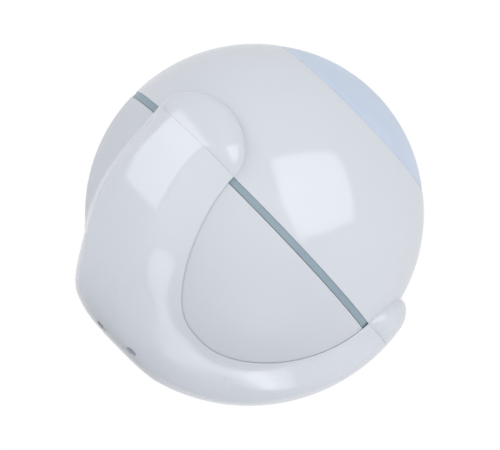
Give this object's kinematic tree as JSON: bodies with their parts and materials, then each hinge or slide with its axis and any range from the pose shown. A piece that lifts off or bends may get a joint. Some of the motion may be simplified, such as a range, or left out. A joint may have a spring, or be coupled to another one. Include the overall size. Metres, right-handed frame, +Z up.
{
  "type": "motion sensor",
  "caption": "Ball-shaped wireless infrared motion sensor with a domed Fresnel lens, a coloured waist ring, a lobed rear shell with a flat base, and a twist-off battery front.",
  "frame": {"origin": "centre of the flat base face that the sensor rests on", "axes": "+Z up along the lens axis, from the base face to the middle of the lens; +X towards the middle of one of the lobes"},
  "size_m": [0.061, 0.0626, 0.062],
  "materials": {
    "housing_white": "high gloss injection-moulded ABS",
    "lens_plastic": "translucent polyethylene with faint moulded segments",
    "accent_plastic": "satin blue-grey",
    "inner_white": "plain moulded",
    "zinc_steel": "zinc plated",
    "circuit_board": "green solder mask",
    "black_plastic": "fine moulded grain",
    "chip_epoxy": "matt epoxy",
    "nickel_can": "nickel plated, slightly dull",
    "infrared_filter": "dark coated silicon",
    "gold_plate": "gold flash",
    "led_resin": "white body with clear resin",
    "capacitor_can": "bright can",
    "spring_steel": "nickel plated spring steel",
    "copper_wire": "enamelled copper",
    "cell_sleeve": "plain printed sleeve, no marks"
  },
  "bodies": {
    "rear_housing": {"rear_shell": "housing_white", "inner_ball": "housing_white", "accent_ring": "accent_plastic", "steel_disc": "zinc_steel", "shell_screws": "zinc_steel"},
    "front_assembly": {"front_cap": "housing_white", "fresnel_lens": "lens_plastic", "lens_retainer": "inner_white", "main_pcb": "circuit_board", "pcb_screws": "zinc_steel", "pir_sensor": "nickel_can", "pir_window": "infrared_filter", "pir_leads": "gold_plate", "pir_spacer": "inner_white", "status_led": "led_resin", "light_sensor": "infrared_filter", "temperature_sensor": "chip_epoxy", "microcontroller": "chip_epoxy", "crystal": "nickel_can", "radio_board": "circuit_board", "radio_shield": "nickel_can", "capacitor": "capacitor_can", "antenna": "copper_wire", "program_switch": "black_plastic", "tamper_switch": "black_plastic", "battery_holder": "black_plastic", "battery": "cell_sleeve", "positive_contact": "spring_steel", "negative_spring": "spring_steel"},
    "program_button": {"program_button": "black_plastic"},
    "tamper_plunger": {"tamper_plunger": "inner_white"}
  },
  "joints": [
    {"name": "cap_twist", "type": "hinge", "parent": "rear_housing", "child": "front_assembly", "pos_m": [0, 0, 0.0328], "axis": [0, 0, 1], "range_deg": [0, 25]},
    {"name": "program_press", "type": "slide", "parent": "front_assembly", "child": "program_button", "axis": [0, 0, 1], "range_m": [0, 0.0003]},
    {"name": "tamper_release", "type": "slide", "parent": "front_assembly", "child": "tamper_plunger", "axis": [0, 0, -1], "range_m": [0, 0.0006]}
  ],
  "couplings": [
    {"joint": "tamper_release", "follows": "cap_twist", "m_per_rad": 0.001375}
  ]
}
